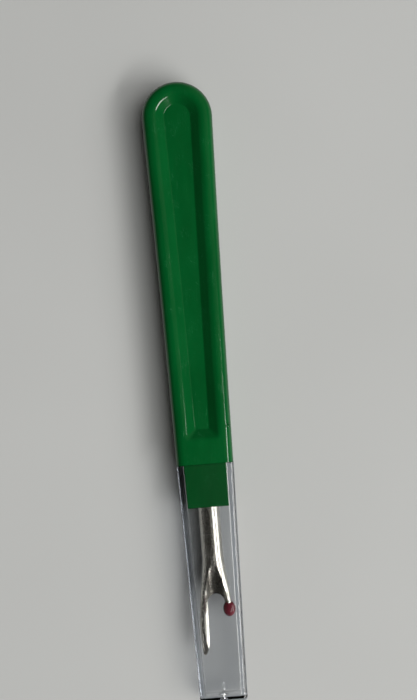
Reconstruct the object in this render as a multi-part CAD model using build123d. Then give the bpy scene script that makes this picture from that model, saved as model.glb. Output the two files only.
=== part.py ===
from build123d import *
import os
from math import atan, cos, radians, sin, sqrt, tan

# Seam ripper with a clear push-on cap, lying on its back.
# The long axis is X, from the round butt of the grip (low X) to the closed end of the cap (high X).
# Y runs across the grip, with the bead on the short prong on the +Y side, and Z is up.
# The origin is below the middle of the whole tool, on the surface that it lies on.

# Grip: a tapering moulding with a round butt and slightly hollow sides.
grip_length = 83.0
butt_radius = 7.65
shoulder_width = 12.4
grip_thickness = 9.0
waist_lean = 0.4
grip_edge_round = 1.9

# Recess in the front and back faces of the grip, with sloping walls.
rim_width = 2.7
recess_wall_run = 2.1
neck_length = 5.4
recess_corner = 0.9
recess_floor_corner = 0.35
recess_crest_round = 1.7
recess_foot_round = 0.35

# Trimmed gate of the moulding: a low round pip on the front edge of the grip, on the bead's side.
pip_radius = 0.65
pip_height = 0.3
pip_to_shoulder = 7.8

# Plug that the cap is pushed onto, with its clearance in the cap and the cap's gap to the shoulder.
shoulder_step = 1.5
plug_length = 9.5
plug_edge_round = 0.35
plug_clearance = 0.06
shoulder_gap = 0.1

# Cap: a tapering rectangular sleeve, closed at the far end, with a gate mark there.
cap_length = 51.9
cap_overhang = 0.05
cap_narrowing = 2.2
cap_thinning = 1.2
cap_end_wall = 1.5
cap_edge_round = 1.1
bore_narrowing = 1.6
bore_thinning = 1.1
bore_edge_round = 0.15
gate_dimple_diameter = 2.2
gate_dimple_depth = 0.9
gate_stub_diameter = 0.8
gate_stub_depth = 0.2

# Steel shank and the tang that the handle is moulded onto.
shank_diameter = 4.7
plug_wall = 0.9
tang_cover = 0.75
tang_length = 20.0
tang_groove_width = 1.4
tang_groove_depth = 0.5
tang_groove_pitch = 5.0
tang_grooves = 3

# Fork: the shank widens and flattens into a long pointed prong and a short one.
point_gap = 8.6
long_prong_length = 13.2
long_prong_width = 1.85
long_prong_clearance = 0.3
long_prong_spread = 0.2
short_prong_length = 3.1
web_length = 8.3
flattening_length = 9.9
widening_length = 14.6
fork_thickness = 2.0
prong_thickness = 1.7
point_thickness = 0.4
point_lean = 38.0
point_width = 0.7
point_set_in = 0.3
point_taper = 4.0
root_roundness = 0.495
prong_roundness = 0.45

# Hollow grind on both faces that sharpens the crotch and the inner side of the long prong.
grind_radius = 3.3
grind_slope = 18.0
grind_outward = 1.8
crotch_edge_thickness = 0.2

# Bead on the short prong.
bead_width = 2.7
bead_length = 3.45
bead_cover = 1.35
bead_overlap = 0.65
bead_clearance = 0.15

# Stations along X.
overall_length = grip_length + shoulder_gap + cap_length
butt_x = -overall_length / 2
shoulder_x = butt_x + grip_length
recess_end_x = shoulder_x - neck_length
plug_end_x = shoulder_x + plug_length
tang_x = plug_end_x - tang_length
cap_mouth_x = shoulder_x + shoulder_gap
cap_end_x = cap_mouth_x + cap_length
bore_end_x = cap_end_x - cap_end_wall
point_x = bore_end_x - point_gap
crotch_x = point_x - long_prong_length
short_tip_x = crotch_x + short_prong_length
fork_root_x = crotch_x - web_length
widest_x = fork_root_x + widening_length
taper_x = point_x - point_taper
bead_x = short_tip_x - bead_cover + bead_length / 2

# Sections of the plug and the recess's depth, which leave plastic all round the steel.
plug_width = shoulder_width - 2 * shoulder_step
plug_thickness = shank_diameter + 2 * plug_wall
recess_depth = (grip_thickness - shank_diameter) / 2 - tang_cover

# The tool is the same above and below this plane.
middle_z = grip_thickness / 2
mid_plane = Plane.XY.offset(middle_z)


def bore_size(x):
    """Width and thickness of the cap's bore at this station."""
    share = (x - cap_mouth_x) / (bore_end_x - cap_mouth_x)
    width = plug_width + 2 * plug_clearance - bore_narrowing * share
    thickness = plug_thickness + 2 * plug_clearance - bore_thinning * share
    return width, thickness


# How far the prongs and the bead reach out from the axis, which keeps them clear of the bore.
long_prong_reach = bore_size(widest_x)[0] / 2 - long_prong_clearance
bead_y = bore_size(bead_x)[0] / 2 - bead_clearance - bead_width / 2
short_prong_reach = bead_y + bead_overlap
gap_width = 2 * (long_prong_reach - long_prong_width - long_prong_spread)


def across(x, y=0, z=middle_z):
    """Plane square to the long axis, with its own x along Y and its own y along Z."""
    return Plane(origin=(x, y, z), x_dir=(0, 1, 0), z_dir=(1, 0, 0))


def on_both_faces(cutter):
    """A cutter for the front face, together with its copy for the back face."""
    return cutter + mirror(cutter, mid_plane)


def grip_plan(inset=0):
    """Outline of the grip, drawn in by inset all round but at its square end."""
    centre_x = butt_x + butt_radius
    average_lean = atan((butt_radius - shoulder_width / 2) / (shoulder_x - centre_x))
    lean = average_lean + radians(waist_lean)
    radius = butt_radius - inset
    start = (centre_x + radius * sin(lean), radius * cos(lean))
    finish = (shoulder_x, shoulder_width / 2 - inset)
    side = TangentArc(start, finish, tangent=(cos(lean), -sin(lean)))
    butt = ThreePointArc(start, (centre_x - radius, 0), (start[0], -start[1]))
    square_end = Line(finish, (finish[0], -finish[1]))
    return make_face([side, mirror(side, Plane.XZ), butt, square_end])


def recess_outline(inset, end_x, corner):
    """Outline of the recess at one level, with a square end and rounded corners."""
    length = end_x - butt_x
    window = Pos((butt_x + end_x) / 2, 0) * Rectangle(length, 3 * butt_radius)
    outline = grip_plan(inset) & window
    return fillet(outline.vertices().sort_by(Axis.X)[-2:], corner)


def recess():
    """Recess in the front face, from its floor up to its opening."""
    floor_z = grip_thickness - recess_depth
    floor_inset = rim_width + recess_wall_run
    floor = recess_outline(floor_inset, recess_end_x - recess_wall_run, recess_floor_corner)
    opening = recess_outline(rim_width, recess_end_x, recess_corner)
    return loft([Pos(0, 0, floor_z) * floor, Pos(0, 0, grip_thickness) * opening], ruled=True)


def tapered_bar(start_x, start_size, end_x, end_size, edge_round):
    """Rectangular bar about the mid-plane, rounded on every edge but those of its start."""
    start = across(start_x) * Rectangle(*start_size)
    end = across(end_x) * Rectangle(*end_size)
    bar = loft([start, end], ruled=True)
    start_edges = bar.faces().sort_by(Axis.X)[0].edges()
    return fillet([edge for edge in bar.edges() if edge not in start_edges], edge_round)


def plug():
    """Plug with the taper of the cap's bore, smaller by the clearance."""
    end_size = [side - 2 * plug_clearance for side in bore_size(plug_end_x)]
    start_size = [side - 2 * plug_clearance for side in bore_size(shoulder_x)]
    return tapered_bar(shoulder_x, start_size, plug_end_x, end_size, plug_edge_round)


def shank():
    """Round shank and its tang, with grooves round the tang that lock it in the handle."""
    radius = shank_diameter / 2
    rod = extrude(across(tang_x) * Circle(radius), amount=fork_root_x - tang_x)
    rod = chamfer(rod.faces().sort_by(Axis.X)[0].edges(), tang_groove_depth)
    ring = Circle(shank_diameter) - Circle(radius - tang_groove_depth)
    for count in range(tang_grooves):
        groove_x = tang_x + tang_groove_pitch / 2 + count * tang_groove_pitch
        rod -= extrude(across(groove_x) * ring, amount=tang_groove_width)
    return rod


def eased(x, length):
    """Share of a change that is complete at x, when it takes this length from the fork's root."""
    share = min(1, (x - fork_root_x) / length)
    return share * (1 + 3 * share - 2 * share**2) / 2


def fork_section(x, thickness, roundness=prong_roundness, set_in=0):
    """Round-edged section of the fork at x, from the long prong's side to the short prong's."""
    radius = shank_diameter / 2
    low_y = -radius - (long_prong_reach - radius) * eased(x, widening_length) + set_in
    high_y = radius + (short_prong_reach - radius) * eased(x, short_tip_x - fork_root_x)
    profile = RectangleRounded(high_y - low_y, thickness, roundness * thickness)
    return across(x, y=(low_y + high_y) / 2) * profile


def fork_blank():
    """Flattened end of the rod, before the gap is cut in it."""
    sections = []
    for share in (0, 0.25, 0.5, 0.75, 1):
        flatness = share**2 * (3 - 2 * share)
        x = fork_root_x + share * flattening_length
        thickness = shank_diameter + (fork_thickness - shank_diameter) * flatness
        roundness = root_roundness + (prong_roundness - root_roundness) * flatness
        sections.append(fork_section(x, thickness, roundness))
    sections.append(fork_section(taper_x, prong_thickness))
    sections.append(fork_section(point_x, point_thickness, set_in=point_set_in))
    return loft(sections)


def fork_plan():
    """Outline that leaves the two prongs, with a round crotch between them."""
    half_gap = gap_width / 2
    arc_x = crotch_x + half_gap
    outside = 2 * long_prong_reach
    point_radius = point_width / 2
    point_y = point_set_in + point_radius - long_prong_reach
    round_x = point_x - point_radius
    lean = radians(point_lean)
    crotch = ThreePointArc((arc_x, half_gap), (crotch_x, 0), (arc_x, -half_gap))
    long_inner = Spline(
        crotch @ 1,
        (taper_x, long_prong_width - long_prong_reach),
        tangents=[(1, 0), (1, 0)],
    )
    slope = Spline(
        long_inner @ 1,
        (round_x + point_radius * sin(lean), point_y + point_radius * cos(lean)),
        tangents=[(1, 0), (cos(lean), -sin(lean))],
    )
    point = ThreePointArc(slope @ 1, (point_x, point_y), (round_x, point_y - point_radius))
    around = Polyline(
        point @ 1,
        (round_x, -outside),
        (tang_x, -outside),
        (tang_x, outside),
        (short_tip_x, outside),
        (short_tip_x, half_gap),
        (arc_x, half_gap),
    )
    return make_face([crotch, long_inner, slope, point, around])


def grind():
    """Cutter for the grind above the mid-plane: a drum that comes down a slope, then runs level."""
    slope = radians(grind_slope)
    outward = radians(grind_outward)
    edge_z = middle_z + crotch_edge_thickness / 2
    drop = grind_radius - sqrt(grind_radius**2 - (gap_width / 2) ** 2)
    level_x = crotch_x + drop / tan(slope)
    disc = across(level_x, z=edge_z - drop + grind_radius) * Circle(grind_radius)
    ramp = extrude(disc, amount=2 * flattening_length, dir=Vector(-cos(slope), 0, sin(slope)))
    level = extrude(disc, amount=2 * long_prong_length, dir=Vector(cos(outward), -sin(outward), 0))
    return ramp + level


def fork_blade():
    """Fork, shank and tang in one piece of steel."""
    prongs = fork_blank() & extrude(fork_plan(), amount=grip_thickness)
    return shank() + (prongs - on_both_faces(grind()))


def safety_ball(blade):
    """Slightly long bead moulded over the end of the short prong."""
    oval = Ellipse(bead_length / 2, bead_width / 2)
    half = oval & Pos(0, bead_width) * Rectangle(2 * bead_length, 2 * bead_width)
    return Pos(bead_x, bead_y, middle_z) * revolve(half, Axis.X) - blade


def hollowed_grip():
    """Grip with rounded outer edges, and a recess with a rounded crest and foot in each face."""
    grip = extrude(grip_plan(), amount=grip_thickness)
    square_end = grip.faces().sort_by(Axis.X)[-1].edges()
    outer = [edge for edge in grip.faces().filter_by(Axis.Z).edges() if edge not in square_end]
    grip = fillet(outer, grip_edge_round)
    grip -= on_both_faces(recess())
    back, _, _, front = grip.faces().filter_by(Axis.Z).sort_by(Axis.Z)
    openings = back.inner_wires() + front.inner_wires()
    grip = fillet([edge for opening in openings for edge in opening.edges()], recess_crest_round)
    _, back_floor, front_floor, _ = grip.faces().filter_by(Axis.Z).sort_by(Axis.Z)
    return fillet(back_floor.edges() + front_floor.edges(), recess_foot_round)


def gate_pip():
    """Ball that stands out of the middle of the grip's rounded edge."""
    side_slope = (butt_radius - shoulder_width / 2) / (shoulder_x - butt_x - butt_radius)
    side_y = shoulder_width / 2 + pip_to_shoulder * side_slope
    reach = (grip_edge_round + pip_height - pip_radius) * sin(radians(45))
    pip_y = side_y - grip_edge_round + reach
    pip_z = grip_thickness - grip_edge_round + reach
    return Pos(shoulder_x - pip_to_shoulder, pip_y, pip_z) * Sphere(pip_radius)


def handle(blade):
    """Grip and plug in one moulding, with the pocket that it forms round the tang."""
    return hollowed_grip() + gate_pip() + plug() - blade


def gate_mark():
    """Shallow dimple in the closed end of the cap, and the stub of the gate that stands in it."""
    rim = gate_dimple_diameter / 2
    hollow_radius = (rim**2 + gate_dimple_depth**2) / (2 * gate_dimple_depth)
    hollow_x = cap_end_x - gate_dimple_depth + hollow_radius
    dimple = Pos(hollow_x, 0, middle_z) * Sphere(hollow_radius)
    stub_disc = across(bore_end_x) * Circle(gate_stub_diameter / 2)
    return dimple, extrude(stub_disc, amount=cap_end_wall - gate_stub_depth)


def clear_cap():
    """Clear sleeve with its bore, flush with the shoulder of the grip."""
    mouth_width = shoulder_width + 2 * cap_overhang
    mouth_size = (mouth_width, grip_thickness)
    end_size = (mouth_width - cap_narrowing, grip_thickness - cap_thinning)
    sleeve = tapered_bar(cap_mouth_x, mouth_size, cap_end_x, end_size, cap_edge_round)
    bore_mouth, bore_end = bore_size(cap_mouth_x), bore_size(bore_end_x)
    sleeve -= tapered_bar(cap_mouth_x, bore_mouth, bore_end_x, bore_end, bore_edge_round)
    dimple, stub = gate_mark()
    return sleeve - dimple + stub


os.makedirs("parts", exist_ok=True)
blade = fork_blade()
parts = {
    "handle": handle(blade),
    "fork_blade": blade,
    "safety_ball": safety_ball(blade),
    "clear_cap": clear_cap(),
}
for name, solid in parts.items():
    export_step(solid, f"parts/{name}.step")
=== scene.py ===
import math
import bmesh
import bpy
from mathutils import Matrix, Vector


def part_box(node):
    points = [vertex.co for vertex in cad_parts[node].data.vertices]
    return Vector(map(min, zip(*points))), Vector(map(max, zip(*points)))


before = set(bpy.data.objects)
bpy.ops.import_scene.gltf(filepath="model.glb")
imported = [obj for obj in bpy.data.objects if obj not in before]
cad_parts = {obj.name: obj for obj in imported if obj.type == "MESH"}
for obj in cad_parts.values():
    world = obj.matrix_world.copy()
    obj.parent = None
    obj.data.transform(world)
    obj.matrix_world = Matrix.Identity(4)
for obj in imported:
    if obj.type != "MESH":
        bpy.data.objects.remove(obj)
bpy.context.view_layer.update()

MM = 0.001


# Places on the object, worked out from the frame. Those named in millimetres are for the materials.

handle_low, handle_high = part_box("handle")
blade_low, blade_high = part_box("fork_blade")
cap_low, cap_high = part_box("clear_cap")

middle_z = (handle_low.z + handle_high.z) / 2
blade_centre = (blade_low + blade_high) / 2
middle_z_mm = middle_z / MM
cap_end_x_mm = cap_high.x / MM

# The hollow ground between the prongs, where the steel gets a painted dark reflection: how far it
# starts from the tang's end, and the prong beside it.
HOLLOW_TO_TANG_END = 33.0
LONG_PRONG_WIDTH = 2.05
hollow_x_mm = blade_low.x / MM + HOLLOW_TO_TANG_END
half_gap_mm = -blade_low.y / MM - LONG_PRONG_WIDTH


# Node trees.

def add(tree, kind, inputs=None, **settings):
    """A new node, with its settings made and its inputs set or linked."""
    node = tree.nodes.new(kind)
    for name, value in settings.items():
        setattr(node, name, value)
    for name, value in (inputs or {}).items():
        if isinstance(value, bpy.types.NodeSocket):
            tree.links.new(value, node.inputs[name])
        else:
            node.inputs[name].default_value = value
    return node


def maths(tree, operation, *values):
    inputs = dict(enumerate(values))
    return add(tree, "ShaderNodeMath", inputs, operation=operation).outputs[0]


def scaled(tree, value, size):
    return maths(tree, "MULTIPLY", value, size)


def distance_from(tree, value, centre):
    return maths(tree, "ABSOLUTE", maths(tree, "SUBTRACT", value, centre))


def spread(tree, value, from_low, from_high, to_low=0.0, to_high=1.0):
    """Value carried from one range to another, and held at its ends."""
    inputs = {0: value, 1: from_low, 2: from_high, 3: to_low, 4: to_high}
    return add(tree, "ShaderNodeMapRange", inputs).outputs[0]


def mixed(tree, share, low, high):
    """One of two colours, or a colour between them."""
    inputs = {0: share, 6: low, 7: high}
    return add(tree, "ShaderNodeMix", inputs, data_type="RGBA").outputs[2]


def split(tree, vector):
    """X, Y and Z of a vector, as sockets of one node."""
    return add(tree, "ShaderNodeSeparateXYZ", {0: vector}).outputs


def millimetres(tree):
    """Place on the object, in millimetres."""
    place = add(tree, "ShaderNodeTexCoord").outputs["Object"]
    inputs = {0: place, "Scale": 1 / MM}
    return add(tree, "ShaderNodeVectorMath", inputs, operation="SCALE").outputs[0]


def noise(tree, place, size, detail, turn=0.0):
    """Noise from 0 to 1 whose features have this size along X, Y and Z, turned about Z."""
    turned = add(tree, "ShaderNodeMapping", {0: place, 2: (0, 0, turn)}).outputs[0]
    shrunk = add(tree, "ShaderNodeMapping", {0: turned, 3: [1 / side for side in size]}).outputs[0]
    inputs = {"Vector": shrunk, "Scale": 1.0, "Detail": detail}
    return add(tree, "ShaderNodeTexNoise", inputs).outputs[0]


def hairlines(tree, place, size, turn, width, share):
    """Thin broken scratches in one direction: 1 on a scratch, 0 between them."""
    patch_size, patch_edge = (4, 3, 3), 0.04
    line = noise(tree, place, size, 1.0, turn)
    on_line = spread(tree, distance_from(tree, line, 0.5), 0.0, width, 1.0, 0.0)
    patch = noise(tree, place, patch_size, 1.0)
    kept = spread(tree, patch, 1 - share, 1 - share + patch_edge)
    return maths(tree, "MULTIPLY", on_line, kept)


def relief(tree, *heights):
    """Normal of a surface with these heights on it, in millimetres."""
    total = heights[0]
    for height in heights[1:]:
        total = maths(tree, "ADD", total, height)
    inputs = {"Height": total, "Distance": MM, "Strength": 1.0}
    return add(tree, "ShaderNodeBump", inputs).outputs[0]


def blank_material(name):
    material = bpy.data.materials.new(name)
    material.use_nodes = True
    material.node_tree.nodes.clear()
    return material, material.node_tree


def finish_with(tree, **sockets):
    """Joins the shaders to the material's output, by the output's own names."""
    add(tree, "ShaderNodeOutputMaterial", sockets)


# Colours, with their opacity.

GREEN_DEEP = (0.0003, 0.067, 0.0125, 1)
GREEN_LIGHT = (0.0006, 0.087, 0.017, 1)
GREEN_GRAIN = (0.002, 0.11, 0.024, 1)
GREEN_SCUFF = (0.03, 0.2, 0.08, 1)
PLATE_DARK = (0.50, 0.48, 0.43, 1)
PLATE_LIGHT = (0.78, 0.76, 0.70, 1)
# Painted dark reflection: the near-black tone given to the steel between the prongs, where it mirrors
# the dim room overhead.
PAINTED_DARK_REFLECTION = (0.11, 0.105, 0.095, 1)
STEEL_STAIN = (0.30, 0.265, 0.21, 1)
STEEL_PIT = (0.16, 0.13, 0.10, 1)
RED_DARK = (0.085, 0.008, 0.016, 1)
RED_LIGHT = (0.14, 0.012, 0.024, 1)
CLEAR_GLASS = (0.965, 0.97, 0.975, 1)
CLEAR_DEPTH = (0.61, 0.65, 0.71, 1)
SHADE_FACE_ON = (0.955, 0.955, 0.955, 1)
SHADE_EDGE_ON = (0.47, 0.49, 0.52, 1)
FLOOR_DARK = (0.43, 0.435, 0.425, 1)
FLOOR_LIGHT = (0.50, 0.505, 0.495, 1)


# Materials. Sizes and heights are in millimetres.

def green_plastic():
    """Deep green glossy moulding, with faint flow, handling marks and a parting line."""
    material, tree = blank_material("green_plastic")
    place = millimetres(tree)
    flow = noise(tree, place, (16, 5, 5), 3.0)
    grain = noise(tree, place, (0.35, 0.35, 0.35), 2.0)
    long_marks = hairlines(tree, place, size=(9, 0.5, 0.5), turn=0.06, width=0.006, share=0.45)
    cross_marks = hairlines(tree, place, size=(0.6, 7, 7), turn=0.5, width=0.005, share=0.42)
    marks = maths(tree, "MAXIMUM", long_marks, cross_marks)
    off_middle = distance_from(tree, split(tree, place)["Z"], middle_z_mm)
    parting_line = spread(tree, off_middle, 0.02, 0.09, 1.0, 0.0)

    deep = mixed(tree, spread(tree, flow, 0.3, 0.7), GREEN_DEEP, GREEN_LIGHT)
    speckled = mixed(tree, spread(tree, grain, 0.6, 0.75, 0.0, 0.25), deep, GREEN_GRAIN)
    scuffed = mixed(tree, scaled(tree, marks, 0.35), speckled, GREEN_SCUFF)
    worn = spread(tree, noise(tree, place, (6, 3, 3), 4.0), 0.35, 0.7, 0.07, 0.14)
    dulled = maths(tree, "ADD", worn, scaled(tree, marks, 0.2))
    waves = noise(tree, place, (5, 2.5, 2.5), 1.0)
    ripples = noise(tree, place, (0.7, 0.5, 0.5), 2.0)
    normal = relief(
        tree,
        scaled(tree, waves, 0.03),
        scaled(tree, ripples, 0.0025),
        scaled(tree, marks, -0.003),
        scaled(tree, parting_line, 0.02),
    )
    shader = add(tree, "ShaderNodeBsdfPrincipled", {
        "Base Color": scuffed,
        "Roughness": dulled,
        "Normal": normal,
        "IOR": 1.46,
    })
    finish_with(tree, Surface=shader.outputs[0])
    return material


def plated_steel():
    """Nickel plate over drawn steel, streaked along its length, with a painted dark reflection of the
    dim room overhead in the ground hollow between the prongs.
    """
    material, tree = blank_material("plated_steel")
    place = millimetres(tree)
    streaks = noise(tree, place, (6, 0.25, 0.25), 3.0)
    fine_streaks = noise(tree, place, (2.5, 0.08, 0.08), 2.0)
    pits = spread(tree, noise(tree, place, (0.4, 0.3, 0.3), 3.0), 0.58, 0.7)
    stains = spread(tree, noise(tree, place, (5, 2, 2), 3.0), 0.4, 0.7)
    axes = split(tree, place)
    off_axis = maths(tree, "ABSOLUTE", axes["Y"])
    between_prongs = spread(tree, off_axis, half_gap_mm - 0.4, half_gap_mm + 0.2, 1.0, 0.0)
    past_root = spread(tree, axes["X"], hollow_x_mm, hollow_x_mm + 2.5)
    # Mask for the painted dark reflection: the hollow between the prongs, past the fork's root.
    hollow_painted_dark = maths(tree, "MULTIPLY", between_prongs, past_root)

    plate = mixed(tree, streaks, PLATE_DARK, PLATE_LIGHT)
    # Painted dark reflection: the plate is mixed almost fully to the dark tone between the prongs.
    plate_with_painted_dark = mixed(tree, scaled(tree, hollow_painted_dark, 0.9), plate, PAINTED_DARK_REFLECTION)
    stained = mixed(tree, scaled(tree, stains, 0.35), plate_with_painted_dark, STEEL_STAIN)
    pitted = mixed(tree, scaled(tree, pits, 0.5), stained, STEEL_PIT)
    polish = spread(tree, streaks, 0.3, 0.7, 0.17, 0.27)
    dulled = maths(tree, "ADD", polish, scaled(tree, pits, 0.15))
    normal = relief(
        tree,
        scaled(tree, streaks, 0.004),
        scaled(tree, fine_streaks, 0.0022),
        scaled(tree, pits, -0.003),
    )
    shader = add(tree, "ShaderNodeBsdfPrincipled", {
        "Base Color": pitted,
        "Metallic": 1.0,
        "Roughness": dulled,
        "Normal": normal,
        "Anisotropic": 0.3,
    })
    finish_with(tree, Surface=shader.outputs[0])
    return material


def red_plastic():
    """Dark red bead, glossy and a little uneven."""
    material, tree = blank_material("red_plastic")
    place = millimetres(tree)
    cloud = spread(tree, noise(tree, place, (1.2, 1.2, 1.2), 3.0), 0.3, 0.7)
    lumps = noise(tree, place, (0.9, 0.9, 0.9), 1.0)
    grain = noise(tree, place, (0.12, 0.12, 0.12), 1.0)
    shader = add(tree, "ShaderNodeBsdfPrincipled", {
        "Base Color": mixed(tree, cloud, RED_DARK, RED_LIGHT),
        "Roughness": spread(tree, cloud, 0.0, 1.0, 0.08, 0.16),
        "Normal": relief(tree, scaled(tree, lumps, 0.02), scaled(tree, grain, 0.001)),
        "IOR": 1.5,
    })
    finish_with(tree, Surface=shader.outputs[0])
    return material


def clear_plastic():
    """Clear moulding, faintly wavy and scuffed, that lets the lamps light what it covers."""
    material, tree = blank_material("clear_plastic")
    place = millimetres(tree)
    long_marks = hairlines(tree, place, size=(8, 0.5, 0.5), turn=0.1, width=0.006, share=0.5)
    cross_marks = hairlines(tree, place, size=(0.6, 6, 6), turn=0.8, width=0.005, share=0.45)
    marks = maths(tree, "MAXIMUM", long_marks, cross_marks)
    axes = split(tree, place)
    before_gate = spread(tree, axes["X"], cap_end_x_mm - 5.0, cap_end_x_mm - 2.0)
    beside_gate = spread(tree, maths(tree, "ABSOLUTE", axes["Y"]), 0.05, 0.35, 1.0, 0.0)
    flow_mark = maths(tree, "MULTIPLY", before_gate, beside_gate)
    waves = noise(tree, place, (9, 3, 3), 1.0)
    normal = relief(
        tree,
        scaled(tree, waves, 0.012),
        scaled(tree, marks, -0.002),
        scaled(tree, flow_mark, 0.12),
    )
    glass = add(tree, "ShaderNodeBsdfPrincipled", {
        "Base Color": CLEAR_GLASS,
        "Roughness": spread(tree, marks, 0.0, 1.0, 0.02, 0.16),
        "Normal": normal,
        "IOR": 1.58,
        "Transmission Weight": 1.0,
    })
    edge_on = add(tree, "ShaderNodeLayerWeight", {"Blend": 0.35}).outputs["Facing"]
    shade = mixed(tree, spread(tree, edge_on, 0.2, 0.95), SHADE_FACE_ON, SHADE_EDGE_ON)
    window = add(tree, "ShaderNodeBsdfTransparent", {0: shade})
    path = add(tree, "ShaderNodeLightPath").outputs
    lit_through = maths(tree, "MAXIMUM", path["Is Shadow Ray"], path["Is Diffuse Ray"])
    choice = {0: lit_through, 1: glass.outputs[0], 2: window.outputs[0]}
    shader = add(tree, "ShaderNodeMixShader", choice)
    depth = add(tree, "ShaderNodeVolumeAbsorption", {"Color": CLEAR_DEPTH, "Density": 115.0})
    finish_with(tree, Surface=shader.outputs[0], Volume=depth.outputs[0])
    return material


def pale_floor():
    material, tree = blank_material("pale_floor")
    cloud = noise(tree, millimetres(tree), (90, 90, 90), 2.0)
    tone = mixed(tree, cloud, FLOOR_DARK, FLOOR_LIGHT)
    shader = add(tree, "ShaderNodeBsdfPrincipled", {"Base Color": tone, "Roughness": 0.6})
    finish_with(tree, Surface=shader.outputs[0])
    return material


def dress(node, material):
    """Gives a carried-over piece its material."""
    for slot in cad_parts[node].material_slots:
        slot.material = material


dress("handle", green_plastic())
dress("fork_blade", plated_steel())
dress("safety_ball", red_plastic())
dress("clear_cap", clear_plastic())


# Floor.

FLOOR_RADIUS = 2.5
FLOOR_SIDES = 96


def floor():
    shape = bmesh.new()
    bmesh.ops.create_circle(shape, cap_ends=True, segments=FLOOR_SIDES, radius=FLOOR_RADIUS)
    mesh = bpy.data.meshes.new("floor")
    shape.to_mesh(mesh)
    shape.free()
    mesh.materials.append(pale_floor())
    piece = bpy.data.objects.new("floor", mesh)
    bpy.context.scene.collection.objects.link(piece)


floor()


# Light.

def softbox(name, azimuth, elevation, distance, size, power, colour=(1, 1, 1), centre=(0, 0, 0)):
    """Rectangular lamp that faces this centre. Azimuth is from +X towards +Y, in degrees."""
    lamp = bpy.data.lights.new(name, "AREA")
    lamp.shape = "RECTANGLE"
    lamp.size, lamp.size_y = size
    lamp.energy = power
    lamp.color = colour
    turn, rise = math.radians(azimuth), math.radians(elevation)
    way = Vector((math.cos(turn) * math.cos(rise), math.sin(turn) * math.cos(rise), math.sin(rise)))
    lamp_object = bpy.data.objects.new(name, lamp)
    lamp_object.location = Vector(centre) + way * distance
    lamp_object.rotation_euler = way.to_track_quat("Z", "Y").to_euler()
    lamp_object.visible_camera = False
    bpy.context.scene.collection.objects.link(lamp_object)
    return lamp_object


def window_strip():
    """Long narrow lamp that draws the bright lines along the edges."""
    softbox(
        "window",
        azimuth=57,
        elevation=45,
        distance=0.85,
        size=(0.66, 0.12),
        power=3.4,
        colour=(1.0, 0.99, 0.97),
    )


def soft_fill():
    """Large far lamp that lights everything evenly and isn't mirrored in the gloss."""
    lamp_object = softbox(
        "fill",
        azimuth=75,
        elevation=58,
        distance=10.0,
        size=(11.5, 11.5),
        power=1100.0,
    )
    lamp_object.visible_glossy = False
    lamp_object.visible_transmission = False


def blade_card():
    """Low card beside the blade, mirrored in the steel. It lights only what is at the capped end."""
    lamp_object = softbox(
        "card",
        azimuth=85,
        elevation=14,
        distance=0.30,
        size=(0.30, 0.15),
        power=0.55,
        colour=(1.0, 0.99, 0.95),
        centre=blade_centre,
    )
    lit = bpy.data.collections.new("lit_by_card")
    for node in ("fork_blade", "safety_ball", "clear_cap"):
        lit.objects.link(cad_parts[node])
    lamp_object.light_linking.receiver_collection = lit


# Tones of the room that the gloss mirrors. The dark side is -Y and the pale side is +Y.
OVERHEAD_DARK = (0.02, 0.019, 0.016, 1)
OVERHEAD_DIM = (0.05, 0.048, 0.042, 1)
OVERHEAD_WARM = (0.15, 0.143, 0.122, 1)
HORIZON_DARK = (0.05, 0.05, 0.05, 1)
HORIZON_PALE = (0.28, 0.28, 0.28, 1)
BEHIND_FLOOR = (0.47, 0.47, 0.46, 1)


def room_light():
    """Dim room, dark on one side, with a warm band part of the way up on the other."""
    world = bpy.data.worlds.new("room")
    world.use_nodes = True
    tree = world.node_tree
    tree.nodes.clear()
    way = split(tree, add(tree, "ShaderNodeTexCoord").outputs["Generated"])
    halves = mixed(tree, spread(tree, way["Y"], -0.03, 0.02), OVERHEAD_DARK, OVERHEAD_DIM)
    band_start = spread(tree, way["Y"], 0.12, 0.5)
    band_end = spread(tree, way["Y"], 0.74, 0.88, 1.0, 0.0)
    band = maths(tree, "MULTIPLY", band_start, band_end)
    overhead = mixed(tree, band, halves, OVERHEAD_WARM)
    horizon = mixed(tree, spread(tree, way["Y"], -0.4, 0.4), HORIZON_DARK, HORIZON_PALE)
    tone = mixed(tree, spread(tree, way["Z"], 0.0, 0.4), horizon, overhead)
    in_view = add(tree, "ShaderNodeLightPath").outputs["Is Camera Ray"]
    shown = mixed(tree, in_view, tone, BEHIND_FLOOR)
    background = add(tree, "ShaderNodeBackground", {"Color": shown, "Strength": 1.0})
    add(tree, "ShaderNodeOutputWorld", {"Surface": background.outputs[0]})
    bpy.context.scene.world = world


window_strip()
soft_fill()
blade_card()
room_light()
bpy.context.scene.view_settings.view_transform = "Standard"


# Camera, straight above the object, which lies a little across the picture.

CAMERA_DISTANCE = 0.30
PICTURE_LENGTH = 0.1532
OBJECT_TURN = 4.63
LOOK_AT = Vector((-8.95 * MM, 2.76 * MM, middle_z))
NEAREST_SEEN = 0.01
FARTHEST_SEEN = 20.0


def camera():
    lens = bpy.data.cameras.new("camera")
    lens.sensor_fit = "AUTO"
    lens.lens = lens.sensor_width * CAMERA_DISTANCE / PICTURE_LENGTH
    lens.clip_start = NEAREST_SEEN
    lens.clip_end = FARTHEST_SEEN
    eye = bpy.data.objects.new("camera", lens)
    eye.location = LOOK_AT + Vector((0, 0, CAMERA_DISTANCE))
    eye.rotation_euler = (0, 0, math.radians(90 - OBJECT_TURN))
    bpy.context.scene.collection.objects.link(eye)
    bpy.context.scene.camera = eye


camera()
